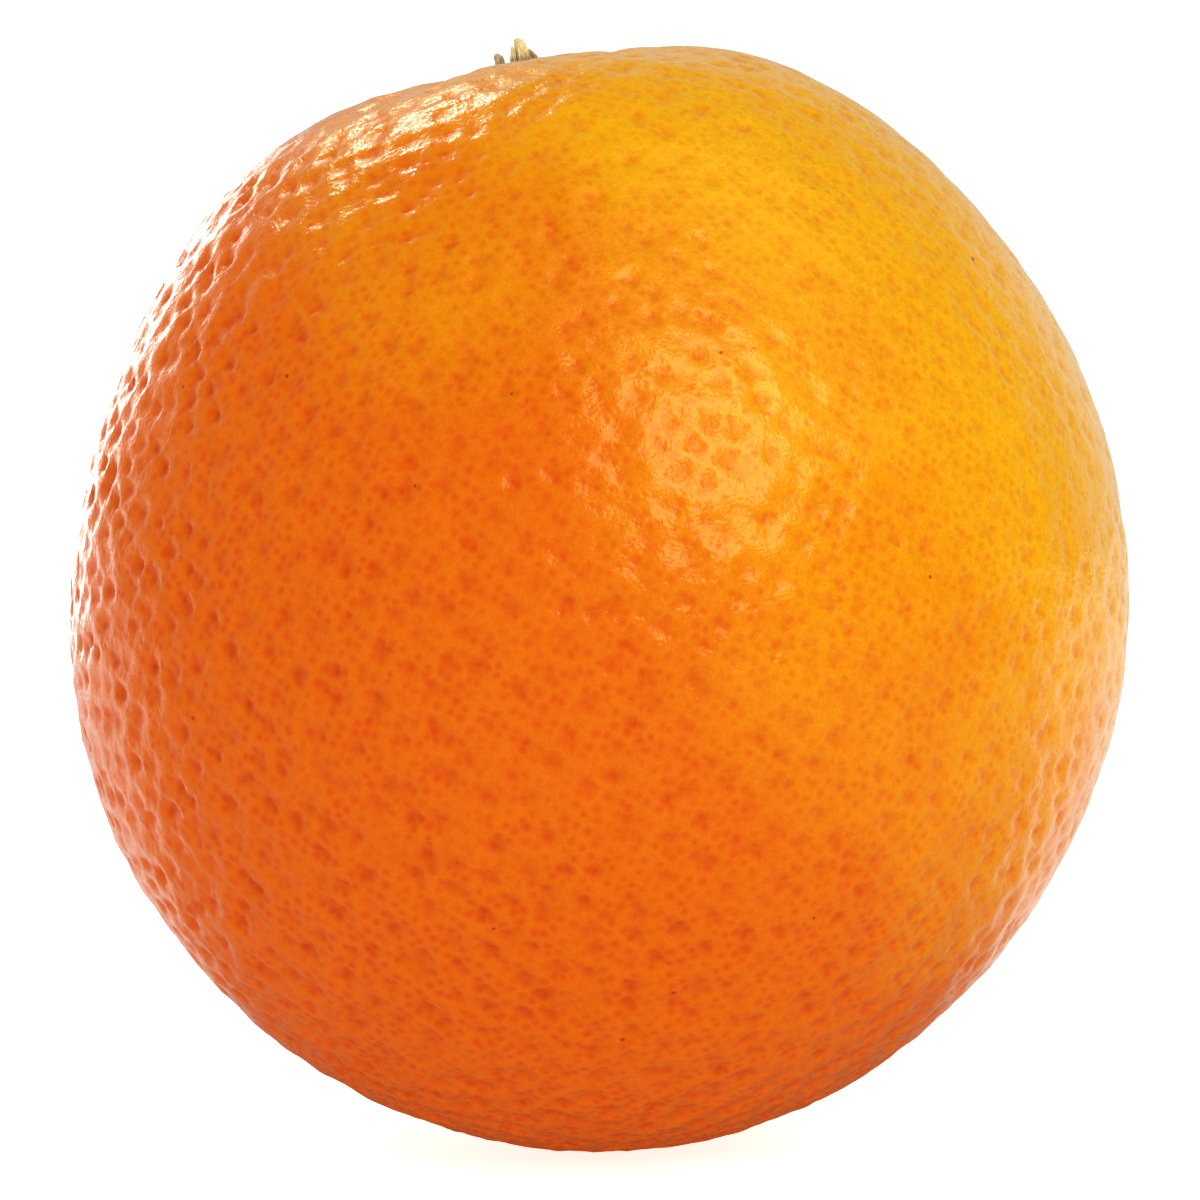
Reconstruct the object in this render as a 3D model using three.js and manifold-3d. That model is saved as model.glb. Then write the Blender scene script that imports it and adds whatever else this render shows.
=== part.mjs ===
// A whole sweet orange standing on its base, with the dried calyx and the torn stub of its stem.
// Millimetres, +Z up. The origin lies on the surface the fruit stands on, under the fruit's middle.
// The front of the fruit faces -Y, and +X is on the right as it is seen from there.
import * as THREE from "three";
import { ImprovedNoise } from "three/addons/math/ImprovedNoise.js";
import { mergeVertices } from "three/addons/utils/BufferGeometryUtils.js";
import Module from "manifold-3d";

// The fruit. Its form is a radius round a centre of growth, in terms of the polar angle from the
// stem and the azimuth round the stem, which is 0 to the right and -90 to the front.
const fruit = {
  centre: [-0.04, 0.04, 39.44], // where the middle of growth sits above the resting spot
  radius: 38.56, // of the round form before the terms that follow
  leanLeft: 8.6, // degrees by which the stem end leans to the left
  leanBack: 2, // degrees by which it leans away from the front
  polar: [-0.04, 0.57, 0.12], // how far the two ends stand out, on cos p, cos 2p and cos 3p
  skew: 0.46, // the right shoulder above the left one, on sin 2p cos q
  oval: { amount: 0.6, towards: 35 }, // a slight oval round the waist
  basin: { depth: 0.95, reach: 12 }, // the hollow that the calyx lies in
  shoulder: { height: 1.08, at: 29.2, reach: 18.5 }, // the raised ring round the hollow
  heel: { height: 0.54, lean: 14.7, reach: 27 }, // a low swelling right of the resting spot
};
const furrows = {
  at: [-42, 14, 66, 121, 176, -128], // azimuths of the grooves that run out from the calyx
  depth: [0.75, 0.42, 0.5, 0.38, 0.46, 0.62],
  peak: 11, // degrees from the stem at which a groove is deepest
  reach: 11,
  width: 12, // degrees of azimuth
};
const swells = { count: 46, height: 0.195, reach: 15, start: 2, step: 3.1 }; // broad and low, all over
const scar = { radius: 2.1, depth: 0.35 }; // where the flower's style fell off, opposite the stem

// The pitted peel, with the pits larger than life so that the facets can hold them.
const pits = {
  frequency: 24, // how many steps each edge of the icosahedron is split into
  every: 3, // one point in three is a pit, ringed by six that stay up
  shallow: 0.14,
  deep: 0.48,
  patches: 19, // how quickly the pits' depth varies over the fruit
  contrast: 1.4,
  drift: 0.018, // how far the rows wander, as a share of the radius
  wander: 10, // and how quickly
  apart: 40, // keeps the three directions of the wandering unlike each other
};

// The stem end, measured from the floor of the dish that the calyx sits in.
const gap = 0.25; // clearance between neighbouring pieces
const dish = { depth: 0.85, floor: 2.85, brim: 4.4, rise: 1.15, sides: 40 };
const calyx = { radius: 2.3, top: 0.75, rim: 0.4, hole: 1.35, sides: 40 };
const sepals = [
  // azimuth, where the blade leaves the disc and where its tip lies, half width, rise of the tip
  { at: 140, root: 1.7, reach: 1.95, halfWidth: 0.42, rise: 2.0 }, // stands up behind, on the left
  { at: 66, root: 1.66, reach: 1.74, halfWidth: 0.5, rise: 1.84 }, // stands up close behind the stub
  { at: 206, root: 1.5, reach: 3.0, halfWidth: 0.8, rise: 0.2 },
  { at: 274, root: 1.5, reach: 3.0, halfWidth: 0.85, rise: 0.15 },
  { at: 346, root: 1.5, reach: 2.9, halfWidth: 0.8, rise: 0.2 },
];
const blade = { thickness: 0.5, lift: 0.05, thinning: 0.35, blunt: 0.85, curl: 1.3, steps: 6, sides: 8 };
const stub = { radius: 0.95, height: 2.1, sides: 12 };
const splinters = { count: 12, spread: 0.7, radius: 0.37, sides: 6, gather: 0.8, phase: 5 };
const taper = { loss: 0.88, power: 1.6 }; // how a splinter thins to its tip
const tear = { peakAt: -0.19, highest: 3.85, fall: 1.45, ragged: 0.2 }; // the torn end's outline

const rad = THREE.MathUtils.degToRad;
const deg = THREE.MathUtils.radToDeg;
const bell = (x, middle, reach) => Math.exp(-(((x - middle) / reach) ** 2));

// The stem's own axes: up along the stem, across to the right, and away to the back.
const left = rad(fruit.leanLeft);
const back = rad(fruit.leanBack);
const stemUp = new THREE.Vector3(
  -Math.sin(left) * Math.cos(back),
  Math.sin(back),
  Math.cos(left) * Math.cos(back),
);
const stemRight = new THREE.Vector3(1, 0, 0).addScaledVector(stemUp, -stemUp.x).normalize();
const stemBack = new THREE.Vector3().crossVectors(stemUp, stemRight);

// Degrees between two unit directions.
const between = (a, b) => deg(a.angleTo(b));
const goldenTurn = Math.PI * (3 - Math.sqrt(5)); // spaces points evenly along a spiral

// The low swellings lie on a spiral of even spacing, and a sine of their number sets each one's size.
const swellAt = Array.from({ length: swells.count }, (_, k) => {
  const z = 1 - (2 * k + 1) / swells.count;
  const turn = k * goldenTurn;
  const flat = Math.sqrt(1 - z * z);
  return {
    towards: new THREE.Vector3(flat * Math.cos(turn), flat * Math.sin(turn), z),
    height: swells.height * Math.sin(swells.start + swells.step * k * k),
  };
});
const heelLean = rad(fruit.heel.lean);
const heelTowards = new THREE.Vector3(Math.sin(heelLean), 0, -Math.cos(heelLean));

// The smooth form's radius in a direction.
function formRadius(direction) {
  const polar = between(direction, stemUp);
  const p = rad(polar);
  const across = direction.dot(stemRight);
  const q = Math.atan2(direction.dot(stemBack), across);
  const groove = furrows.at.reduce((sum, azimuth, i) => {
    const turn = q - rad(azimuth);
    const off = deg(Math.atan2(Math.sin(turn), Math.cos(turn)));
    return sum + furrows.depth[i] * bell(off, 0, furrows.width);
  }, 0);
  const lumps = swellAt.reduce(
    (sum, swell) => sum + swell.height * bell(between(direction, swell.towards), 0, swells.reach),
    0,
  );
  return (
    fruit.radius +
    fruit.polar.reduce((sum, amount, i) => sum + amount * Math.cos((i + 1) * p), 0) +
    2 * fruit.skew * Math.cos(p) * across +
    fruit.oval.amount * Math.sin(p) ** 2 * Math.cos(2 * (q - rad(fruit.oval.towards))) -
    fruit.basin.depth * bell(polar, 0, fruit.basin.reach) +
    fruit.shoulder.height * bell(polar, fruit.shoulder.at, fruit.shoulder.reach) -
    groove * bell(polar, furrows.peak, furrows.reach) +
    fruit.heel.height * bell(between(direction, heelTowards), 0, fruit.heel.reach) -
    scar.depth * bell(rad(180 - polar) * fruit.radius, 0, scar.radius) +
    lumps
  );
}

// The pitted skin as a closed geodesic sphere, whose every third point sinks into a pit.
function skinGeometry() {
  const solid = new THREE.IcosahedronGeometry(1, 0).getAttribute("position");
  const noise = new ImprovedNoise();
  const n = pits.frequency;
  const corner = [new THREE.Vector3(), new THREE.Vector3(), new THREE.Vector3()];
  const points = [];

  // Point i, j of a face's grid. The drift makes the rows of pits wander.
  function skinPoint(i, j) {
    const d = corner[0].clone().multiplyScalar(n - i - j);
    d.addScaledVector(corner[1], i).addScaledVector(corner[2], j).normalize();
    const w = d.clone().multiplyScalar(pits.wander);
    const drift = new THREE.Vector3(
      noise.noise(w.x + pits.apart, w.y, w.z),
      noise.noise(w.x, w.y + pits.apart, w.z),
      noise.noise(w.x, w.y, w.z + pits.apart),
    );
    const way = d.clone().addScaledVector(drift, pits.drift).normalize();
    const isPit = (i - j + n) % pits.every === 0;
    const patch = noise.noise(pits.patches * d.x, pits.patches * d.y, pits.patches * d.z);
    const share = THREE.MathUtils.clamp(0.5 + pits.contrast * patch, 0, 1);
    const sink = isPit ? THREE.MathUtils.lerp(pits.shallow, pits.deep, share) : 0;
    return way.clone().multiplyScalar(formRadius(way) - sink);
  }

  for (let face = 0; face < solid.count; face += 3) {
    corner.forEach((c, k) => c.fromBufferAttribute(solid, face + k));
    for (let i = 0; i < n; i += 1) {
      for (let j = 0; j < n - i; j += 1) {
        points.push(skinPoint(i, j), skinPoint(i + 1, j), skinPoint(i, j + 1));
        if (i + j < n - 1) {
          points.push(skinPoint(i + 1, j), skinPoint(i + 1, j + 1), skinPoint(i, j + 1));
        }
      }
    }
  }
  return new THREE.BufferGeometry().setFromPoints(points).translate(...fruit.centre);
}

// A closed skin over rings of points, fanned shut at both ends.
function loft(rings) {
  const points = [];
  const middle = (ring) =>
    ring.reduce((sum, point) => sum.add(point), new THREE.Vector3()).divideScalar(ring.length);
  const first = rings[0];
  const last = rings[rings.length - 1];
  const sides = first.length;
  for (let k = 0; k < sides; k += 1) {
    const next = (k + 1) % sides;
    points.push(middle(first), first[next], first[k]);
    for (let r = 0; r + 1 < rings.length; r += 1) {
      const [a, b] = [rings[r], rings[r + 1]];
      points.push(a[k], a[next], b[next], a[k], b[next], b[k]);
    }
    points.push(middle(last), last[k], last[next]);
  }
  return new THREE.BufferGeometry().setFromPoints(points);
}

// A ring of points round a middle, in the plane of two half axes.
function ringAround(middle, wide, high, sides) {
  return Array.from({ length: sides }, (_, k) => {
    const a = (k / sides) * 2 * Math.PI;
    return middle.clone().addScaledVector(wide, Math.cos(a)).addScaledVector(high, Math.sin(a));
  });
}

// One sepal: a blade that starts inside the disc and rises along a curve to a blunt tip.
function sepalGeometry({ at, root, reach, halfWidth, rise }) {
  const floor = gap + blade.thickness / 2 + blade.lift;
  const slope = Math.atan2(rise, reach - root);
  const rings = [];
  for (let s = 0; s <= blade.steps; s += 1) {
    const t = s / blade.steps;
    const width = halfWidth * Math.sqrt(1 - blade.blunt * t ** 5);
    const thick = (blade.thickness / 2) * (1 - blade.thinning * t);
    const middle = new THREE.Vector3(root + (reach - root) * t, 0, floor + rise * t ** blade.curl);
    const wide = new THREE.Vector3(0, width, 0);
    const high = new THREE.Vector3(-thick * Math.sin(slope), 0, thick * Math.cos(slope));
    rings.push(ringAround(middle, wide, high, blade.sides));
  }
  return loft(rings).rotateZ(rad(at));
}

// The calyx's woody disc, a low dome with a hole for the stem.
function discGeometry() {
  const { radius, top, rim, hole, sides } = calyx;
  const profile = [
    [hole, gap],
    [radius, gap],
    [radius + 0.1, gap + rim / 2],
    [radius - 0.15, gap + rim],
    [hole + 0.25, top],
    [hole, top],
    [hole, gap],
  ];
  return new THREE.LatheGeometry(
    profile.map(([x, y]) => new THREE.Vector2(x, y)),
    sides,
  ).rotateX(Math.PI / 2);
}

// A pointed stick from a base point to a tip.
function stickGeometry(base, tip, radius, sides, steps) {
  const rings = [];
  for (let s = 0; s <= steps; s += 1) {
    const t = s / steps;
    const width = radius * (1 - taper.loss * t ** taper.power);
    const across = new THREE.Vector3(width, 0, 0);
    const away = new THREE.Vector3(0, width, 0);
    rings.push(ringAround(base.clone().lerp(tip, t), across, away, sides));
  }
  return loft(rings);
}

// The stub's core and the splinters of its torn end, whose tips draw a fin that peaks left of centre.
function stubGeometries() {
  const foot = new THREE.Vector3(0, 0, gap);
  const core = stickGeometry(foot, new THREE.Vector3(0, 0, stub.height), stub.radius, stub.sides, 1);
  const sticks = Array.from({ length: splinters.count }, (_, k) => {
    const out = splinters.spread * Math.sqrt((k + 0.5) / splinters.count);
    const turn = k * goldenTurn;
    const base = new THREE.Vector3(out * Math.cos(turn), out * Math.sin(turn), gap);
    const tip = base.clone().multiplyScalar(splinters.gather);
    const ragged = tear.ragged * Math.sin(splinters.phase * k) ** 2;
    tip.z = tear.highest - tear.fall * Math.hypot(tip.x - tear.peakAt, tip.y) - ragged;
    return stickGeometry(base, tip, splinters.radius, splinters.sides, 2);
  });
  return [core, ...sticks];
}

const wasm = await Module();
wasm.setup();

function toSolid(geometry) {
  const bare = new THREE.BufferGeometry().setAttribute("position", geometry.getAttribute("position"));
  if (geometry.index) bare.setIndex(geometry.index);
  const merged = mergeVertices(bare, 1e-4);
  return new wasm.Manifold(
    new wasm.Mesh({
      numProp: 3,
      vertProperties: merged.getAttribute("position").array,
      triVerts: new Uint32Array(merged.index.array),
    }),
  );
}

function toGeometry(solid) {
  const { vertProperties, triVerts } = solid.getMesh();
  return new THREE.BufferGeometry()
    .setAttribute("position", new THREE.BufferAttribute(vertProperties, 3))
    .setIndex(new THREE.BufferAttribute(triVerts, 1));
}

const joined = (geometries) => toGeometry(geometries.map(toSolid).reduce((all, next) => all.add(next)));

// The frame that the stem end is built in: its origin is on the dish's floor.
const dishFloor = formRadius(stemUp) - dish.depth;
const stemEndTurn = new THREE.Quaternion().setFromRotationMatrix(
  new THREE.Matrix4().makeBasis(stemRight, stemBack, stemUp),
);
const stemEndPlace = new THREE.Vector3(...fruit.centre).addScaledVector(stemUp, dishFloor);

// The fruit is cut flat where it stands, and a dish for the calyx is cut round the stem.
function fruitGeometry() {
  const { floor, brim, rise, sides } = dish;
  const block = fruit.radius; // larger than anything that it cuts away
  const ground = new THREE.BoxGeometry(block, block, block).translate(0, 0, -block / 2);
  const profile = [
    [0, 0],
    [floor, 0],
    [brim, rise],
    [brim, 3 * rise],
    [0, 3 * rise],
  ];
  const seat = new THREE.LatheGeometry(
    profile.map(([x, y]) => new THREE.Vector2(x, y)),
    sides,
  )
    .rotateX(Math.PI / 2)
    .applyQuaternion(stemEndTurn)
    .translate(stemEndPlace.x, stemEndPlace.y, stemEndPlace.z);
  return toGeometry(toSolid(skinGeometry()).subtract(toSolid(ground)).subtract(toSolid(seat)));
}

function piece(name, geometry, color, roughness) {
  const mesh = new THREE.Mesh(geometry, new THREE.MeshStandardMaterial({ color, roughness, metalness: 0 }));
  mesh.name = name;
  return mesh;
}

const orange = new THREE.Group();
orange.add(piece("fruit", fruitGeometry(), 0xee7a17, 0.42));

const stemEnd = new THREE.Group();
stemEnd.position.copy(stemEndPlace);
stemEnd.quaternion.copy(stemEndTurn);
stemEnd.add(piece("calyx", joined([discGeometry(), ...sepals.map(sepalGeometry)]), 0x9c8560, 0.85));
stemEnd.add(piece("stem_stub", joined(stubGeometries()), 0xcdb57c, 0.8));
orange.add(stemEnd);

export default orange;
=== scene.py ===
# A whole orange on a pale studio floor: its pitted peel, the dried calyx and the torn stem stub
import math
import random

import bpy
import numpy as np
from mathutils import Matrix, Vector, kdtree, noise


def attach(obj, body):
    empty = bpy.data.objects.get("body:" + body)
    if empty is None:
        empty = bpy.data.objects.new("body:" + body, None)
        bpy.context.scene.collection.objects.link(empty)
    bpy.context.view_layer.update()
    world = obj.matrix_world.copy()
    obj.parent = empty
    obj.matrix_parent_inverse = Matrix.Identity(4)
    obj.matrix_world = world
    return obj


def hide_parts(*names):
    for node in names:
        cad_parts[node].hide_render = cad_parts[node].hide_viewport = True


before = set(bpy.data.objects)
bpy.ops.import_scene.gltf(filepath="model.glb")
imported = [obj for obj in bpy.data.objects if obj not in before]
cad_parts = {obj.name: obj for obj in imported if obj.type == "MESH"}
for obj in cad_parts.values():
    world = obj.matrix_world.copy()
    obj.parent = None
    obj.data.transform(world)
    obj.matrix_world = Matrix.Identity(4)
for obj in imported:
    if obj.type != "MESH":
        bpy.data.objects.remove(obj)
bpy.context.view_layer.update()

mm = 0.001

# sizes in millimetres, angles in degrees
# p is the angle from the stem, q the azimuth round it: 0 to the right and -90 to the front
fruit = {
    "centre": (-0.04, 0.04, 39.44),
    "radius": 38.54,
    "leanLeft": 8.6,
    "leanBack": 2.0,
    "polar": (-0.04, 0.57, 0.12),       # both ends stand out, on cos p, cos 2p and cos 3p
    "skew": 0.46,                       # right shoulder above the left one
    "oval": (0.6, 35.0),
    "basin": (0.95, 12.0),              # depth and reach of the hollow at the stem
    "shoulder": (1.08, 29.2, 18.5),     # height, place and reach of the ring round it
    "heel": (0.54, 14.7, 27.0),         # low swelling right of the resting spot
    "furrowAt": (-42, 14, 66, 121, 176, -128),
    "furrowDepth": (0.75, 0.42, 0.5, 0.38, 0.46, 0.62),
    "furrowShape": (11.0, 11.0, 12.0),  # deepest at, reach along, width
    "swells": (46, 0.195, 15.0, 2.0, 3.1),
    "scar": (0.35, 2.1),                # where the flower's style fell off
    "dishDepth": 0.85,
    "dishFloor": 2.5,
    "dishBrim": 4.4,
    "dishRise": 1.15,
}

# the relief that is modelled: pits in shallow bowls that meet in ridges, and a soft hammered unevenness
relief = {
    "halvings": 7,              # 2 to the 7th faces along each edge of the cube it starts from
    "pits": 3400,               # about 2.4 mm apart
    "pitJitter": 0.5,
    "pitRadius": (0.7, 1.15),
    "pitDepth": (0.04, 0.33),
    "bowlRadius": 1.75,
    "bowlDepth": 0.155,
    "heartRadius": 0.8,         # the darker middle of a pit, darker in deeper pits: partly the peel's own colour, partly painted shade
    "waver": 0.3,               # how far their outlines stray from round
    "smoothTowards": (0.75, 0.0, 0.55),
    "unevenSize": 3.2,
    "unevenDepth": 0.045,
    "rollSize": 9.0,
    "rollDepth": 0.05,
}

# the oil glands, too small for the mesh, so each face knows where the nearest ones are
glands = {
    "count": 20500,             # about 1 mm apart
    "jitter": 0.17,
    "radius": (0.42, 0.62),
    "depth": 0.03,
}

# dark specks, some at places on the front, to the right and up from its middle, the rest anywhere
specks = {
    "seen": ((8.1, 18.3), (1.5, -28.1), (-28.3, 15.6), (-21.0, 16.5), (25.9, 24.5), (14.4, -19.9), (-7.0, -20.0),
             (-12.2, 9.4)),
    "count": 16,
    "radius": (0.15, 0.28),
    "colour": (0.42, 0.075, 0.008, 1),
}


def deselectAll():
    bpy.ops.object.select_all(action="DESELECT")


def unit(vectors):
    return vectors / np.linalg.norm(vectors, axis=-1, keepdims=True)


def bell(x, middle, reach):
    return np.exp(-(((x - middle) / reach) ** 2))


leanLeft = math.radians(fruit["leanLeft"])
leanBack = math.radians(fruit["leanBack"])
stemUp = Vector((
    -math.sin(leanLeft) * math.cos(leanBack),
    math.sin(leanBack),
    math.cos(leanLeft) * math.cos(leanBack),
))
stemRight = (Vector((1, 0, 0)) - stemUp * stemUp.x).normalized()
stemBack = stemUp.cross(stemRight)
fruitCentre = Vector(fruit["centre"]) * mm


def smoothRadius(directions):
    up = np.array(stemUp)
    right = np.array(stemRight)
    back = np.array(stemBack)
    cosP = np.clip(directions @ up, -1, 1)
    p = np.arccos(cosP)
    polar = np.degrees(p)
    across = directions @ right
    q = np.arctan2(directions @ back, across)
    radius = np.full(len(directions), fruit["radius"])
    for k, amount in enumerate(fruit["polar"]):
        radius += amount * np.cos((k + 1) * p)
    radius += 2 * fruit["skew"] * cosP * across
    ovalAmount, ovalAt = fruit["oval"]
    radius += ovalAmount * np.sin(p) ** 2 * np.cos(2 * (q - math.radians(ovalAt)))
    basinDepth, basinReach = fruit["basin"]
    radius -= basinDepth * bell(polar, 0, basinReach)
    height, at, reach = fruit["shoulder"]
    radius += height * bell(polar, at, reach)
    peak, reach, width = fruit["furrowShape"]
    groove = np.zeros(len(directions))
    for azimuth, depth in zip(fruit["furrowAt"], fruit["furrowDepth"]):
        turn = q - math.radians(azimuth)
        off = np.degrees(np.arctan2(np.sin(turn), np.cos(turn)))
        groove += depth * bell(off, 0, width)
    radius -= groove * bell(polar, peak, reach)
    height, lean, reach = fruit["heel"]
    heel = np.array((math.sin(math.radians(lean)), 0, -math.cos(math.radians(lean))))
    radius += height * bell(np.degrees(np.arccos(np.clip(directions @ heel, -1, 1))), 0, reach)
    depth, reach = fruit["scar"]
    radius -= depth * bell(np.radians(180 - polar) * fruit["radius"], 0, reach)
    count, height, reach, start, step = fruit["swells"]
    for k in range(count):
        z = 1 - (2 * k + 1) / count
        turn = k * math.pi * (3 - math.sqrt(5))
        flat = math.sqrt(1 - z * z)
        towards = np.array((flat * math.cos(turn), flat * math.sin(turn), z))
        angle = np.degrees(np.arccos(np.clip(directions @ towards, -1, 1)))
        radius += height * math.sin(start + step * k * k) * bell(angle, 0, reach)
    return radius


# the stem end's own place: its origin is on the floor of the dish that the calyx sits in
dishHeight = float(smoothRadius(np.array([stemUp]))[0]) - fruit["dishDepth"]
stemPlace = Matrix.Translation(fruitCentre + stemUp * dishHeight * mm) @ Matrix(
    (stemRight, stemBack, stemUp)).transposed().to_4x4()


# small node helpers
def addNode(tree, kind, **settings):
    node = tree.nodes.new(kind)
    for name, value in settings.items():
        setattr(node, name, value)
    return node


def feed(tree, value, socket):
    if isinstance(value, bpy.types.NodeSocket):
        tree.links.new(value, socket)
    else:
        socket.default_value = value


def sums(tree, operation, a, b=0.0, clamp=False):
    node = addNode(tree, "ShaderNodeMath", operation=operation, use_clamp=clamp)
    feed(tree, a, node.inputs[0])
    feed(tree, b, node.inputs[1])
    return node.outputs[0]


def vectorSums(tree, operation, a, b=None, scale=None, out="Vector"):
    node = addNode(tree, "ShaderNodeVectorMath", operation=operation)
    feed(tree, a, node.inputs[0])
    if b is not None:
        feed(tree, b, node.inputs[1])
    if scale is not None:
        feed(tree, scale, node.inputs["Scale"])
    return node.outputs[out]


def remap(tree, value, fromMin, fromMax, toMin=0.0, toMax=1.0, smooth=True):
    node = addNode(tree, "ShaderNodeMapRange", interpolation_type="SMOOTHSTEP" if smooth else "LINEAR")
    for k, v in enumerate((value, fromMin, fromMax, toMin, toMax)):
        feed(tree, v, node.inputs[k])
    return node.outputs[0]


def noiseOf(tree, vector, size, detail=2.0, roughness=0.5, distortion=0.0):
    node = addNode(tree, "ShaderNodeTexNoise")
    feed(tree, vector, node.inputs["Vector"])
    node.inputs["Scale"].default_value = 1 / size
    node.inputs["Detail"].default_value = detail
    node.inputs["Roughness"].default_value = roughness
    node.inputs["Distortion"].default_value = distortion
    return node.outputs[0]


# directions spread evenly on a spiral, each moved a little
def spreadDirections(count, jitter, seed):
    k = np.arange(count) + 0.5
    z = 1 - 2 * k / count
    turn = k * math.pi * (3 - math.sqrt(5))
    flat = np.sqrt(1 - z * z)
    directions = np.stack((flat * np.cos(turn), flat * np.sin(turn), z), axis=1)
    chance = np.random.default_rng(seed)
    return unit(directions + chance.normal(0, jitter / fruit["radius"], directions.shape))


# which of the points lie nearest to each place, and how far off they are
def nearest(points, places, howMany):
    tree = kdtree.KDTree(len(points))
    for k, point in enumerate(points):
        tree.insert(point, k)
    tree.balance()
    found = [tree.find_n(place, howMany) for place in places]
    index = np.array([[hit[1] for hit in hits] for hits in found])
    distance = np.array([[hit[2] for hit in hits] for hits in found])
    return index, distance


def readPoints(mesh):
    points = np.zeros(len(mesh.vertices) * 3)
    mesh.vertices.foreach_get("co", points)
    return points.reshape(-1, 3)


def writePoints(mesh, points):
    mesh.vertices.foreach_set("co", points.ravel())
    mesh.update()


def writeAttribute(mesh, name, kind, domain, values):
    attribute = mesh.attributes.new(name, kind, domain)
    attribute.data.foreach_set("vector" if kind == "FLOAT_VECTOR" else "value", values.astype(np.float32).ravel())


# soft unevenness from a cloud texture, pushed in and out along the normals
def pushClouds(piece, name, size, depth):
    clouds = bpy.data.textures.new(name, "CLOUDS")
    clouds.noise_scale = size
    clouds.noise_depth = 1
    modifier = piece.modifiers.new(name, "DISPLACE")
    modifier.texture = clouds
    modifier.texture_coords = "LOCAL"
    modifier.mid_level = 0.5
    modifier.strength = 4 * depth
    bpy.ops.object.modifier_apply(modifier=name)


def makePeel():
    deselectAll()
    bpy.ops.mesh.primitive_cube_add(size=2)
    peel = bpy.context.object
    peel.name = "peel"
    bpy.ops.object.mode_set(mode="EDIT")
    for _ in range(relief["halvings"]):
        bpy.ops.mesh.subdivide(number_cuts=1)
    bpy.ops.object.mode_set(mode="OBJECT")
    mesh = peel.data
    directions = unit(np.tan(readPoints(mesh) * math.pi / 4))  # evens out the faces before they are rounded
    hollow, heartTintAndShade = hollows(directions)
    writeAttribute(mesh, "pitHeartTintAndShade", "FLOAT", "POINT", heartTintAndShade)
    writeAttribute(mesh, "ripe", "FLOAT", "POINT", ripeness(directions))
    writeAttribute(mesh, "glandStrength", "FLOAT", "POINT", glandStrength(directions))
    writePoints(mesh, directions * (smoothRadius(directions) - hollow)[:, None])
    pushClouds(peel, "uneven", relief["unevenSize"], relief["unevenDepth"])
    pushClouds(peel, "roll", relief["rollSize"], relief["rollDepth"])
    mesh = peel.data
    markNearest(mesh)
    points = (sinkDish(readPoints(mesh)) + np.array(fruit["centre"])) * mm
    points[:, 2] = np.maximum(points[:, 2], 0)  # the flat spot it rests on
    writePoints(mesh, points)
    deselectAll()
    peel.select_set(True)
    bpy.context.view_layer.objects.active = peel
    bpy.ops.object.shade_smooth()
    print("peel:", len(mesh.polygons), "faces")
    return peel


# smooth noise from 0 to 1 at each direction, in patches of so many millimetres
def cloudiness(directions, size, spread=0.5, shift=0.0):
    places = directions * fruit["radius"] / size + shift
    values = np.array([noise.noise(place) for place in places])
    return np.clip(0.5 + 0.5 * values / spread, 0, 1)


# from 0 where the peel is deep orange to 1 where it is yellow
def ripeness(directions):
    along = directions @ np.array(peelLook["ripeTowards"])
    patches = cloudiness(directions, 13.0, 0.6, 7.0) - 0.5 + 0.5 * (cloudiness(directions, 5.0, 0.6, 3.0) - 0.5)
    for towards, amount, reach in peelLook["ripePatches"]:
        angle = np.degrees(np.arccos(np.clip(directions @ unit(np.array(towards)), -1, 1)))
        along = along + amount * bell(angle, 0, reach)
    return np.clip((along + peelLook["patches"] * patches + 0.8) / 1.6, 0, 1)


# the glands show least where the peel is yellow
def glandStrength(directions):
    return (0.4 + 0.55 * cloudiness(directions, 2.0, 0.3)) * (1.1 - 0.5 * ripeness(directions))


# how deep each place lies in the pits and bowls, and how near the middle of a deep pit it is, which darkens the colour
# there: partly the peel's own colour, partly painted shade
def hollows(directions):
    middles = spreadDirections(relief["pits"], relief["pitJitter"], 3)
    chance = np.random.default_rng(4)
    radius = chance.uniform(*relief["pitRadius"], len(middles))
    share = chance.uniform(0, 1, len(middles))
    least, most = relief["pitDepth"]
    depth = least + (most - least) * share
    stray = np.array([noise.noise_vector(place) for place in directions * fruit["radius"] / 1.7])
    index, distance = nearest(middles, unit(directions + stray * relief["waver"] / fruit["radius"]), 4)
    distance = distance * fruit["radius"]
    pit = np.max(depth[index] * (1 - np.clip(distance / radius[index], 0, 1) ** 2) ** 2, axis=1)
    bowl = relief["bowlDepth"] * (1 - np.clip(distance[:, 0] / relief["bowlRadius"], 0, 1) ** 2)
    rough = np.clip(0.95 - 0.6 * directions @ np.array(relief["smoothTowards"]), 0.35, 1.1)
    heartTintAndShade = (0.3 + 0.7 * share[index]) * (1 - np.clip(distance / relief["heartRadius"], 0, 1) ** 2) ** 1.4
    return rough * (pit + bowl), rough * np.max(heartTintAndShade, axis=1)


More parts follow.
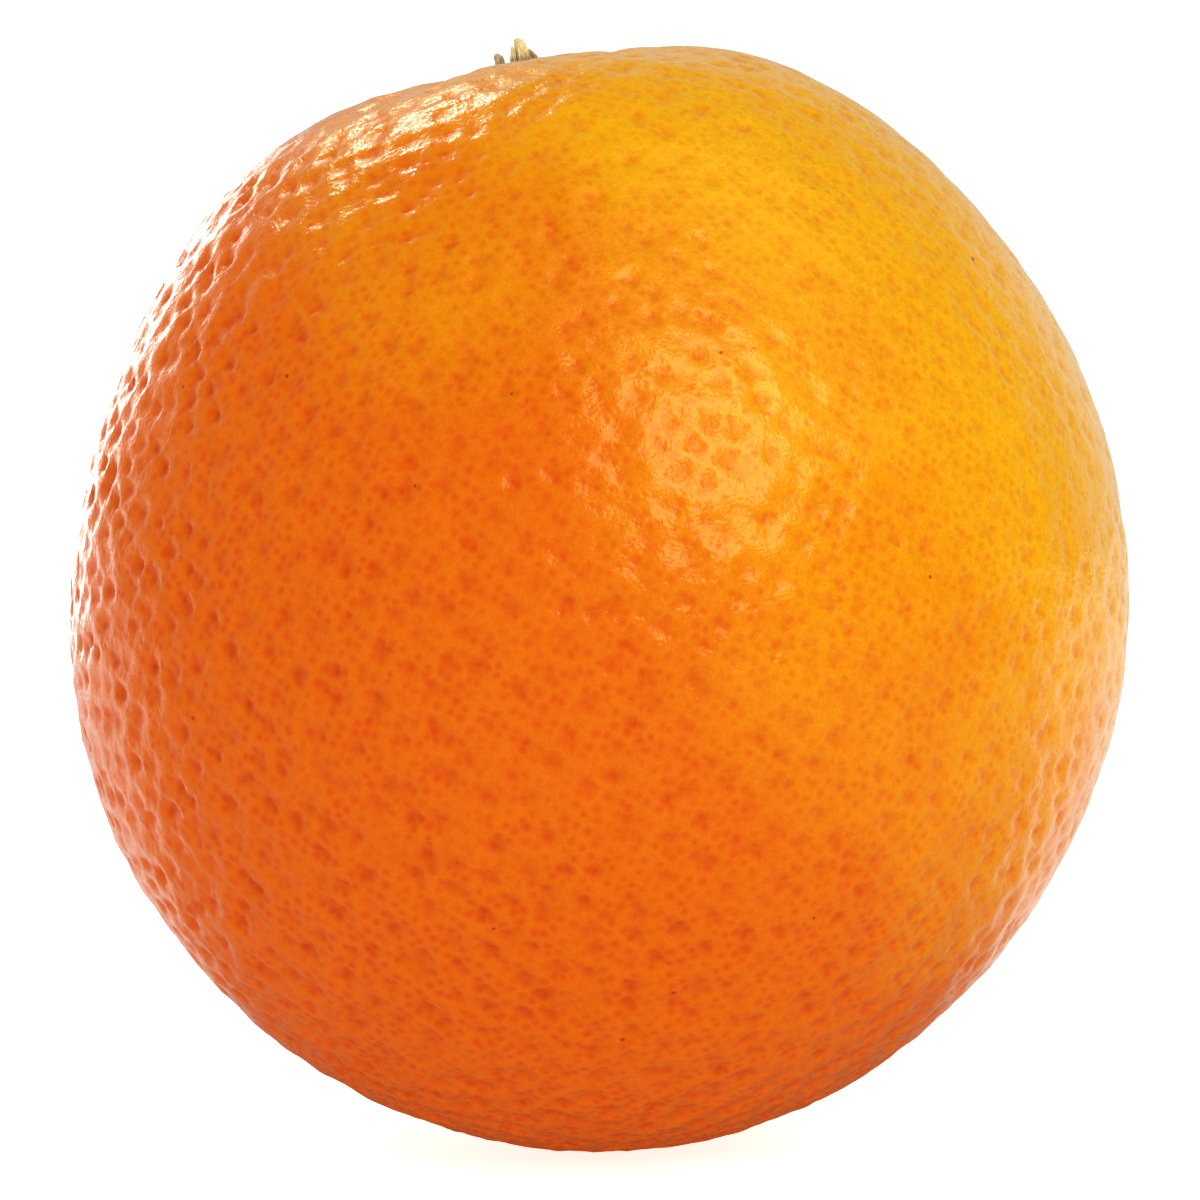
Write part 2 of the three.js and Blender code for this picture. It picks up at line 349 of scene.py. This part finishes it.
# each face keeps the directions of its two nearest glands and its nearest speck, and their radii
def markNearest(mesh):
    centres = np.zeros(len(mesh.polygons) * 3)
    mesh.polygons.foreach_get("center", centres)
    directions = unit(centres.reshape(-1, 3))
    middles = spreadDirections(glands["count"], glands["jitter"], 5)
    index, _ = nearest(middles, directions, 2)
    radius = np.random.default_rng(6).uniform(*glands["radius"], len(middles)) / fruit["radius"]
    for k, name in enumerate(("glandNear", "glandNext")):
        writeAttribute(mesh, name, "FLOAT_VECTOR", "FACE", middles[index[:, k]])
        writeAttribute(mesh, name + "Radius", "FLOAT", "FACE", radius[index[:, k]])
    front = [(x, -math.sqrt(fruit["radius"] ** 2 - x * x - z * z), z) for x, z in specks["seen"]]
    spots = np.concatenate((unit(np.array(front)), spreadDirections(specks["count"], 4.0, 7)))
    index, _ = nearest(spots, directions, 1)
    least, most = specks["radius"]
    radius = np.random.default_rng(8).uniform(least, most, len(spots)) / fruit["radius"]
    writeAttribute(mesh, "speckNear", "FLOAT_VECTOR", "FACE", spots[index[:, 0]])
    writeAttribute(mesh, "speckNearRadius", "FLOAT", "FACE", radius[index[:, 0]])


# the calyx's seat, sunk into the hollow at the stem
def sinkDish(points):
    up = np.array(stemUp)
    along = points @ up
    beside = np.linalg.norm(points - along[:, None] * up, axis=1)
    share = np.clip((beside - fruit["dishFloor"]) / (fruit["dishBrim"] - fruit["dishFloor"]), 0, 2)
    dish = dishHeight + fruit["dishRise"] * share ** 2
    sunk = (along > 0) & (beside < fruit["dishBrim"] * 1.3) & (along > dish)
    blend = 0.25
    drop = np.where(sunk, np.sqrt((along - dish) ** 2 + blend ** 2) - blend, 0)
    return points - drop[:, None] * up


def finishPiece(piece, name, slot, material, *nodes):
    piece.name = name
    piece.data.materials.clear()
    piece.data.materials.append(material)
    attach(piece, "root")
    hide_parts(*nodes)


def newMaterial(name):
    material = bpy.data.materials.new(name)
    material.use_nodes = True
    tree = material.node_tree
    return material, tree, tree.nodes["Principled BSDF"]


# millimetres about the fruit's centre
def millimetres(tree):
    coords = addNode(tree, "ShaderNodeTexCoord")
    mapping = addNode(tree, "ShaderNodeMapping")
    tree.links.new(coords.outputs["Object"], mapping.inputs["Vector"])
    mapping.inputs["Location"].default_value = [-c for c in fruit["centre"]]
    mapping.inputs["Scale"].default_value = (1 / mm, 1 / mm, 1 / mm)
    return mapping.outputs["Vector"]


def ramp(tree, value, stops):
    node = addNode(tree, "ShaderNodeValToRGB")
    feed(tree, value, node.inputs[0])
    elements = node.color_ramp.elements
    while len(elements) < len(stops):
        elements.new(0.5)
    for element, (place, colour) in zip(elements, stops):
        element.position = place
        element.color = (*colour, 1)
    return node.outputs[0]


def mixValue(tree, share, a, b):
    node = addNode(tree, "ShaderNodeMix", data_type="FLOAT")
    for k, v in ((0, share), (2, a), (3, b)):
        feed(tree, v, node.inputs[k])
    return node.outputs[0]


def mixColour(tree, share, a, b, blend="MIX"):
    node = addNode(tree, "ShaderNodeMix", data_type="RGBA", blend_type=blend)
    feed(tree, share, node.inputs[0])
    feed(tree, a, node.inputs[6])
    feed(tree, b, node.inputs[7])
    return node.outputs[2]


peelLook = {
    "ripeTowards": (0.71, 0.05, 0.70),
    "patches": 0.25,
    "ripePatches": (    # towards, how much yellower, reach in degrees
        ((0.55, -0.62, -0.55), 0.24, 18.0),
        ((-0.53, -0.66, 0.53), 0.14, 15.0),
        ((0.36, -0.93, -0.02), 0.15, 14.0),
    ),
    "stops": (
        (0.0, (0.77, 0.178, 0.003)),
        (0.5, (0.78, 0.205, 0.003)),
        (0.62, (0.79, 0.265, 0.003)),
        (0.75, (0.82, 0.35, 0.003)),
        (0.9, (0.86, 0.465, 0.004)),
        (1.0, (0.87, 0.50, 0.005)),
    ),
    # the pits' middles: partly the peel's own redder colour, partly painted shade in the hollows
    "inPitTintAndShade": (0.95, 0.60, 0.5, 1),
    "inGland": (0.94, 0.60, 0.45, 1),
    "inGrain": (0.97, 0.84, 0.7, 1),
    "wrinkleSize": 0.55,
    "wrinkleDepth": 0.065,
    "grainSize": 0.24,
    "grainDepth": 0.02,
    "roughness": (0.19, 0.12, 0.25),    # least, and how much the grain and the pits add
    "coat": (0.27, 0.04),               # weight on the ridges and deep in the pits
}


def readAttribute(tree, name, out="Fac"):
    return addNode(tree, "ShaderNodeAttribute", attribute_name=name).outputs[out]


# how deep inside the nearest of some round spots a place is, from 0 to 1
def spotMask(tree, place, *names):
    here = vectorSums(tree, "NORMALIZE", place)
    mask = 0.0
    for name in names:
        there = readAttribute(tree, name, "Vector")
        radius = readAttribute(tree, name + "Radius")
        distance = vectorSums(tree, "DISTANCE", here, there, out="Value")
        mask = sums(tree, "MAXIMUM", mask, remap(tree, distance, radius, 0.0))
    return mask


def peelMaterial():
    material, tree, shader = newMaterial("pittedPeel")
    place = millimetres(tree)
    gland = spotMask(tree, place, "glandNear", "glandNext")
    heartTintAndShade = readAttribute(tree, "pitHeartTintAndShade")
    fine = noiseOf(tree, place, peelLook["wrinkleSize"], detail=1.0)
    wrinkle = sums(tree, "ABSOLUTE", sums(tree, "SUBTRACT", fine, 0.5))
    grain = noiseOf(tree, place, peelLook["grainSize"], detail=1.0, roughness=0.7)
    colour = ramp(tree, readAttribute(tree, "ripe"), peelLook["stops"])
    glandShade = sums(tree, "MULTIPLY", gland, readAttribute(tree, "glandStrength"))
    # the pits' middles are darkened by their depth: partly the peel's own colour, partly painted shade
    for shade, tint in ((heartTintAndShade, "inPitTintAndShade"), (glandShade, "inGland"), (remap(tree, grain, 0.3, 0.7), "inGrain")):
        colour = mixColour(tree, shade, colour, mixColour(tree, 1.0, colour, peelLook[tint], "MULTIPLY"))
    speck = remap(tree, spotMask(tree, place, "speckNear"), 0.1, 0.6)
    feed(tree, mixColour(tree, speck, colour, specks["colour"]), shader.inputs["Base Color"])
    height = 0.0
    for part, depth in ((glandShade, -glands["depth"]), (wrinkle, -peelLook["wrinkleDepth"]),
                        (grain, peelLook["grainDepth"])):
        height = sums(tree, "ADD", height, sums(tree, "MULTIPLY", part, depth))
    bump = addNode(tree, "ShaderNodeBump")
    bump.inputs["Distance"].default_value = mm
    bump.inputs["Strength"].default_value = 1.0
    feed(tree, height, bump.inputs["Height"])
    feed(tree, bump.outputs[0], shader.inputs["Normal"])
    feed(tree, bump.outputs[0], shader.inputs["Coat Normal"])
    least, byGrain, byPit = peelLook["roughness"]
    rough = sums(tree, "ADD", sums(tree, "MULTIPLY", grain, byGrain), sums(tree, "MULTIPLY", heartTintAndShade, byPit))
    feed(tree, sums(tree, "ADD", rough, least), shader.inputs["Roughness"])
    feed(tree, mixValue(tree, heartTintAndShade, *peelLook["coat"]), shader.inputs["Coat Weight"])
    shader.inputs["Specular IOR Level"].default_value = 0.7
    shader.inputs["Specular Tint"].default_value = (1.0, 0.7, 0.3, 1)
    shader.inputs["Coat Roughness"].default_value = 0.09
    return material


# colours in the grooves, between them and on the ridges, a painted shade at the foot where the piece meets the one
# below, and at the tip; sizes in millimetres
calyxLook = {
    "Groove": (0.14, 0.09, 0.055, 1),
    "Middle": (0.46, 0.33, 0.20, 1),
    "Ridge": (0.68, 0.54, 0.38, 1),
    # painted shade: the calyx's foot is darkened where it meets the peel
    "Painted Foot Shade": (0.20, 0.13, 0.08, 1),
    "Foot Height": 1.2,
    "Tip": (0.70, 0.59, 0.46, 1),
    "Tip Height": 2.5,
    "Fibres per mm": 6.0,
    "Spots per mm": 4.5,
    "depth": 0.05,
}

stubLook = {
    "Groove": (0.34, 0.24, 0.13, 1),
    "Middle": (0.88, 0.76, 0.44, 1),
    "Ridge": (1.0, 0.93, 0.62, 1),
    # painted shade: the stub's foot is darkened where it meets the calyx
    "Painted Foot Shade": (0.32, 0.22, 0.12, 1),
    "Foot Height": 2.15,
    "Tip": (1.0, 0.96, 0.64, 1),
    "Tip Height": 3.3,
    "Fibres per mm": 8.0,
    "Spots per mm": 4.0,
    "depth": 0.05,
}


# dry plant matter: streaks that run along the stem, darker in the grooves, paler at the tip, with painted shade
# darkening the foot where the piece meets the one below
def makeFibreGroup():
    tree = bpy.data.node_groups.new("driedFibres", "ShaderNodeTree")
    sockets = [("Place", "NodeSocketVector")]
    sockets += [(name, "NodeSocketColor" if name in ("Groove", "Middle", "Ridge", "Painted Foot Shade", "Tip") else "NodeSocketFloat")
                for name in calyxLook if name != "depth"]
    for name, kind in sockets:
        tree.interface.new_socket(name, in_out="INPUT", socket_type=kind)
    for name, kind in (("Colour", "NodeSocketColor"), ("Height", "NodeSocketFloat"), ("Roughness", "NodeSocketFloat")):
        tree.interface.new_socket(name, in_out="OUTPUT", socket_type=kind)
    given = addNode(tree, "NodeGroupInput").outputs
    drawn = vectorSums(tree, "MULTIPLY", given["Place"], (1.0, 1.0, 0.14))
    streaks = noiseOf(tree, vectorSums(tree, "SCALE", drawn, scale=given["Fibres per mm"]), 1.0, roughness=0.6)
    spots = noiseOf(tree, vectorSums(tree, "SCALE", given["Place"], scale=given["Spots per mm"]), 1.0)
    shade = sums(tree, "ADD", sums(tree, "MULTIPLY", streaks, 0.7), sums(tree, "MULTIPLY", spots, 0.4))
    colour = mixColour(tree, remap(tree, shade, 0.3, 0.5), given["Groove"], given["Middle"])
    colour = mixColour(tree, remap(tree, shade, 0.5, 0.72), colour, given["Ridge"])
    height = vectorSums(tree, "DOT_PRODUCT", given["Place"], (0.0, 0.0, 1.0), out="Value")
    ragged = sums(tree, "ADD", height, remap(tree, streaks, 0.3, 0.7, -0.35, 0.35))
    # painted shade: darker below the foot's height, where the piece meets the one below
    fromShadeLine = sums(tree, "SUBTRACT", ragged, given["Foot Height"])
    colour = mixColour(tree, remap(tree, fromShadeLine, 0.4, -0.4, 0.0, 0.75), colour, given["Painted Foot Shade"])
    fromTip = sums(tree, "SUBTRACT", ragged, given["Tip Height"])
    colour = mixColour(tree, remap(tree, fromTip, -0.6, 0.5, 0.0, 0.75), colour, given["Tip"])
    result = addNode(tree, "NodeGroupOutput")
    feed(tree, colour, result.inputs["Colour"])
    feed(tree, shade, result.inputs["Height"])
    feed(tree, remap(tree, spots, 0.3, 0.7, 0.7, 0.9), result.inputs["Roughness"])
    return tree


def dryMaterial(name, look):
    material, tree, shader = newMaterial(name)
    coords = addNode(tree, "ShaderNodeTexCoord")
    toStem = stemPlace.inverted()
    mapping = addNode(tree, "ShaderNodeMapping")
    tree.links.new(coords.outputs["Object"], mapping.inputs["Vector"])
    mapping.inputs["Location"].default_value = toStem.translation / mm
    mapping.inputs["Rotation"].default_value = toStem.to_euler()
    mapping.inputs["Scale"].default_value = (1 / mm, 1 / mm, 1 / mm)
    fibres = addNode(tree, "ShaderNodeGroup", node_tree=fibreGroup)
    feed(tree, mapping.outputs["Vector"], fibres.inputs["Place"])
    for name, value in look.items():
        if name != "depth":
            fibres.inputs[name].default_value = value
    feed(tree, fibres.outputs["Colour"], shader.inputs["Base Color"])
    bump = addNode(tree, "ShaderNodeBump")
    bump.inputs["Distance"].default_value = mm
    feed(tree, sums(tree, "MULTIPLY", fibres.outputs["Height"], look["depth"]), bump.inputs["Height"])
    feed(tree, bump.outputs[0], shader.inputs["Normal"])
    feed(tree, fibres.outputs["Roughness"], shader.inputs["Roughness"])
    shader.inputs["Specular IOR Level"].default_value = 0.25
    return material


calyx = {
    "rim": 2.3,
    "hole": 1.35,
    "height": 0.72,
    "sepals": (     # azimuth, root, reach, half width, rise
        (140, 1.55, 1.98, 0.56, 2.36),
        (52, 1.75, 1.40, 0.62, 2.3),
        (206, 1.4, 3.1, 0.85, 0.25),
        (274, 1.4, 3.1, 0.9, 0.2),
        (346, 1.4, 3.0, 0.85, 0.25),
    ),
    "thickness": 0.5,
    "base": 0.35,
    "voxel": 0.075,
    "wrinkleSize": 0.45,
    "wrinkleDepth": 0.05,
}


# one dry lobe: a long box, rounded off to a blunt blade that rises from the disc
def makeSepal(azimuth, root, reach, halfWidth, rise):
    deselectAll()
    bpy.ops.mesh.primitive_cube_add(size=2)
    sepal = bpy.context.object
    bpy.ops.object.mode_set(mode="EDIT")
    bpy.ops.mesh.subdivide(number_cuts=7)
    bpy.ops.object.mode_set(mode="OBJECT")
    along, across, through = readPoints(sepal.data).T
    along = (along + 1) / 2
    blunt = np.sqrt(np.clip(1 - np.clip((along - 0.72) / 0.28, 0, 1) ** 2, 0.1, 1))
    wide = halfWidth * blunt * (0.85 + 0.15 * np.sin(along * math.pi))
    thick = calyx["thickness"] / 2 * (1 - 0.25 * along) * np.sqrt(blunt)
    edge = np.sqrt(np.clip(1 - 0.7 * across ** 2, 0, 1))
    outward = reach - root
    slope = math.hypot(outward, rise)
    cup = 0.18 * across ** 2 * halfWidth
    radial = root + outward * along ** 1.3 - (through * thick * edge + cup) * rise / slope
    height = calyx["base"] + rise * along + (through * thick * edge - cup) * outward / slope
    turn = math.radians(azimuth)
    x = radial * math.cos(turn) - across * wide * math.sin(turn)
    y = radial * math.sin(turn) + across * wide * math.cos(turn)
    writePoints(sepal.data, np.stack((x, y, height), axis=1))
    return sepal


# the woody disc that the lobes stand on, with a cup for the stub
def makeDisc():
    deselectAll()
    bpy.ops.mesh.primitive_cylinder_add(vertices=48, radius=calyx["rim"], depth=calyx["height"],
                                        location=(0, 0, calyx["height"] / 2 - 0.05))
    disc = bpy.context.object
    bpy.ops.object.transform_apply(location=True)
    bpy.ops.object.mode_set(mode="EDIT")
    selectFaces(disc, lambda face: face.normal.z > 0.9)
    bpy.ops.mesh.inset(thickness=calyx["rim"] - calyx["hole"])
    bpy.ops.transform.translate(value=(0, 0, -0.3))
    bpy.ops.mesh.select_all(action="SELECT")
    bpy.ops.mesh.normals_make_consistent(inside=False)
    bpy.ops.object.mode_set(mode="OBJECT")
    return disc


def selectFaces(piece, wanted):
    bpy.ops.mesh.select_all(action="DESELECT")
    bpy.ops.object.mode_set(mode="OBJECT")
    for face in piece.data.polygons:
        face.select = wanted(face)
    bpy.ops.object.mode_set(mode="EDIT")


# joins the parts into one skin of small even faces
def weld(parts, voxel):
    deselectAll()
    for part in parts:
        part.select_set(True)
    bpy.context.view_layer.objects.active = parts[0]
    bpy.ops.object.join()
    piece = bpy.context.object
    remesh = piece.modifiers.new("weld", "REMESH")
    remesh.mode = "VOXEL"
    remesh.voxel_size = voxel
    bpy.ops.object.modifier_apply(modifier="weld")
    smooth = piece.modifiers.new("soften", "SMOOTH")
    smooth.factor = 0.5
    smooth.iterations = 2
    bpy.ops.object.modifier_apply(modifier="soften")
    return piece


# from its own frame at the stem, in millimetres, to the fruit, in metres
def placeAtStem(piece):
    deselectAll()
    piece.select_set(True)
    bpy.context.view_layer.objects.active = piece
    piece.matrix_world = stemPlace @ Matrix.Scale(mm, 4)
    bpy.ops.object.transform_apply(location=True, rotation=True, scale=True)
    bpy.ops.object.shade_smooth()


def makeCalyx():
    piece = weld([makeDisc()] + [makeSepal(*sepal) for sepal in calyx["sepals"]], calyx["voxel"])
    pushClouds(piece, "wrinkles", calyx["wrinkleSize"], calyx["wrinkleDepth"])
    placeAtStem(piece)
    print("calyx:", len(piece.data.polygons), "faces")
    return piece


stub = {
    "radius": 0.92,
    "foot": 0.25,
    "core": 1.6,
    "splinters": 19,
    "splinterRadius": 0.36,
    "spread": 0.8,
    "shift": 0.3,
    "peakAt": 0.2,
    "highest": 3.66,
    "fall": (0.9, 1.1),        # how much lower it is on the left and on the right
    "ragged": 0.25,
    "voxel": 0.05,
    "fibreDepth": 0.06,
}


# one torn splinter of unit size: a cone that is drawn out and split at its tip
def makeSplinter():
    deselectAll()
    bpy.ops.mesh.primitive_cone_add(vertices=8, radius1=1, radius2=0.4, depth=0.88, location=(0, 0, 0.44))
    splinter = bpy.context.object
    bpy.ops.object.transform_apply(location=True)
    bpy.ops.object.mode_set(mode="EDIT")
    selectFaces(splinter, lambda face: face.normal.z > 0.9)
    bpy.ops.mesh.inset(thickness=0.12)
    bpy.ops.transform.translate(value=(0.05, 0, 0.12))
    bpy.ops.object.mode_set(mode="OBJECT")
    return splinter


def makeStub():
    first = makeSplinter()
    chance = random.Random(11)
    parts = []
    for k in range(stub["splinters"]):
        turn = k * math.pi * (3 - math.sqrt(5))
        out = stub["spread"] * math.sqrt((k + 0.5) / stub["splinters"])
        x, y = stub["shift"] + out * math.cos(turn), out * math.sin(turn)
        aside = (x - stub["peakAt"]) / stub["spread"]
        top = stub["highest"] - stub["fall"][aside > 0] * abs(aside) ** 1.3
        top -= stub["ragged"] * chance.random() + 0.25 * abs(y)
        copy = first.copy()
        copy.data = first.data.copy()
        bpy.context.collection.objects.link(copy)
        wide = stub["splinterRadius"] * (0.8 + 0.4 * chance.random())
        lean = Matrix.Rotation(0.10 * (chance.random() - 0.5), 4, "X") @ Matrix.Rotation(
            -0.12 * (x - stub["peakAt"]), 4, "Y")
        copy.matrix_world = (Matrix.Translation((x, y, stub["foot"])) @ lean
                             @ Matrix.Rotation(turn, 4, "Z")
                             @ Matrix.Diagonal((wide, wide * 0.75, top - stub["foot"], 1)))
        parts.append(copy)
    bpy.data.objects.remove(first)
    deselectAll()
    bpy.ops.mesh.primitive_cylinder_add(vertices=24, radius=stub["radius"], depth=stub["core"],
                                        location=(0, 0, stub["foot"] + stub["core"] / 2 - 0.1))
    parts.append(bpy.context.object)
    deselectAll()
    for part in parts:
        part.select_set(True)
    bpy.context.view_layer.objects.active = parts[-1]
    bpy.ops.object.transform_apply(location=True, rotation=True, scale=True)
    piece = weld(parts, stub["voxel"])
    fibreSkin(piece)
    placeAtStem(piece)
    print("stem stub:", len(piece.data.polygons), "faces")
    return piece


# long grooves between the fibres
def fibreSkin(piece):
    points = readPoints(piece.data)
    out = np.hypot(points[:, 0], points[:, 1])
    turn = np.arctan2(points[:, 1], points[:, 0])
    wave = np.sin(19 * turn + 0.9 * np.sin(points[:, 2] * 2.3)) + 0.6 * np.sin(31 * turn + points[:, 2])
    grow = 1 + stub["fibreDepth"] * wave / np.maximum(out, 0.4) * np.clip(out / 0.5, 0, 1)
    points[:, 0] *= grow
    points[:, 1] *= grow
    writePoints(piece.data, points)


finishPiece(makePeel(), "pittedPeel", "peel", peelMaterial(), "fruit")
fibreGroup = makeFibreGroup()
finishPiece(makeCalyx(), "driedCalyx", "calyx", dryMaterial("dryCalyx", calyxLook), "calyx")
finishPiece(makeStub(), "tornStub", "stem", dryMaterial("strawStem", stubLook), "stem_stub")

studio = {
    "lights": (     # name, direction from the fruit, distance, width, height, watts
        ("key", (0.42, -0.72, 0.53), 0.7, 0.30, 0.45, 1.05),
        ("keyGlow", (0.46, -0.42, 0.78), 0.8, 0.9, 0.9, 0.75),
        ("behindLeft", (-0.346, 0.574, 0.742), 0.7, 0.24, 0.045, 0.5),
        ("leftEdge", (-0.42, 0.906, 0.03), 0.7, 0.2, 0.5, 0.8),
    ),
    "front": 0.34,
    "side": 0.30,
    "right": 0.6,       # how bright the right side is against the left one
    "behind": 0.17,
    "panels": (0.45, 0.18),         # added by pale panels behind on the left and on the right
    "fill": (0.49, 0.15, 0.07),     # soft light from all round, more of it from the left and from above
    # painted light: the floor's glow that lights the fruit from below
    "fillBelow": 0.68,
    "floorShine": (0.04, 0.14, 0.6),    # the floor's glow as the peel's gloss sees it, a painted reflection: dim close by as a painted shadow, in front, behind
}


def softBox(name, towards, distance, width, height, power):
    light = bpy.data.lights.new(name, "AREA")
    light.shape = "RECTANGLE"
    light.size = width
    light.size_y = height
    light.energy = power
    lamp = bpy.data.objects.new(name, light)
    bpy.context.collection.objects.link(lamp)
    direction = Vector(towards).normalized()
    lamp.location = fruitCentre + direction * distance
    lamp.rotation_euler = direction.to_track_quat("Z", "Y").to_euler()


def makeStudio():
    for settings in studio["lights"]:
        softBox(*settings)
    world = bpy.data.worlds.new("paleRoom")
    bpy.context.scene.world = world
    world.use_nodes = True
    tree = world.node_tree
    background = tree.nodes["Background"]
    background.inputs["Color"].default_value = (1, 1, 1, 1)
    direction = addNode(tree, "ShaderNodeTexCoord").outputs["Generated"]
    ahead = vectorSums(tree, "DOT_PRODUCT", direction, (0.0, 1.0, 0.0), out="Value")
    strength = remap(tree, ahead, -0.8, 0.0, studio["front"], studio["side"])
    above = vectorSums(tree, "DOT_PRODUCT", direction, (0.0, 0.0, 1.0), out="Value")
    strength = sums(tree, "MULTIPLY", strength, remap(tree, above, 0.35, 0.95, 1.0, 0.4))
    aside = vectorSums(tree, "DOT_PRODUCT", direction, (1.0, 0.0, 0.0), out="Value")
    strength = sums(tree, "MULTIPLY", strength, remap(tree, aside, 0.2, 0.9, 1.0, studio["right"]))
    level = sums(tree, "SUBTRACT", sums(tree, "ABSOLUTE", aside), sums(tree, "ABSOLUTE", above))
    panel = sums(tree, "MULTIPLY", remap(tree, ahead, 0.4, 0.85), remap(tree, level, -0.1, 0.3))
    panel = sums(tree, "MULTIPLY", panel, remap(tree, aside, -0.1, 0.1, *studio["panels"]))
    strength = sums(tree, "ADD", strength, sums(tree, "ADD", panel, remap(tree, ahead, 0.6, 0.95, 0.0, studio["behind"])))
    allRound, fromLeft, fromAbove = studio["fill"]
    fill = vectorSums(tree, "DOT_PRODUCT", direction, (-fromLeft, 0.0, fromAbove), out="Value")
    path = addNode(tree, "ShaderNodeLightPath")
    strength = mixValue(tree, path.outputs["Is Diffuse Ray"], strength, sums(tree, "ADD", fill, allRound))
    strength = sums(tree, "MAXIMUM", strength, sums(tree, "MULTIPLY", path.outputs["Is Camera Ray"], 1.05))
    feed(tree, strength, background.inputs["Strength"])
    deselectAll()
    bpy.ops.mesh.primitive_circle_add(vertices=96, radius=3.0, fill_type="NGON")
    floor = bpy.context.object
    floor.name = "floor"
    material, tree, shader = newMaterial("paleFloor")
    shader.inputs["Roughness"].default_value = 0.9
    shader.inputs["Specular IOR Level"].default_value = 0.0
    shader.inputs["Emission Color"].default_value = (1, 1, 1, 1)
    path = addNode(tree, "ShaderNodeLightPath")
    pale = mixColour(tree, path.outputs["Is Camera Ray"], (0.25, 0.25, 0.25, 1), (0.8, 0.8, 0.8, 1))
    feed(tree, pale, shader.inputs["Base Color"])
    place = addNode(tree, "ShaderNodeTexCoord").outputs["Object"]
    away = vectorSums(tree, "LENGTH", place, out="Value")
    back = vectorSums(tree, "DOT_PRODUCT", vectorSums(tree, "NORMALIZE", place), (0.0, 1.0, 0.0), out="Value")
    shadowedCloseBy, before, beyond = studio["floorShine"]
    # the floor glows though it is no lamp: painted light from below for diffuse rays, and for gloss a painted
    # reflection, dim close to the fruit as a painted shadow
    shine = remap(tree, away, 0.02, 0.07, shadowedCloseBy, remap(tree, back, 0.05, 0.6, before, beyond))
    glow = mixValue(tree, path.outputs["Is Diffuse Ray"], shine, studio["fillBelow"])
    glow = mixValue(tree, path.outputs["Is Camera Ray"], glow, 0.55)
    feed(tree, glow, shader.inputs["Emission Strength"])
    floor.data.materials.append(material)
    print("studio:", len(studio["lights"]), "lights, the room and the floor")


def placeCamera():
    camera = bpy.data.cameras.new("camera")
    camera.lens = 150
    camera.sensor_width = 36
    camera.clip_start = 0.02
    holder = bpy.data.objects.new("camera", camera)
    bpy.context.collection.objects.link(holder)
    elevation = math.radians(3)
    away = Vector((0, -math.cos(elevation), math.sin(elevation)))
    holder.location = fruitCentre + away * 0.3596
    holder.rotation_euler = away.to_track_quat("Z", "Y").to_euler()
    bpy.context.scene.camera = holder
    print("camera:", camera.lens, "mm lens")


makeStudio()
placeCamera()
bpy.context.scene.view_settings.view_transform = "Standard"
bpy.context.scene.view_settings.look = "High Contrast"
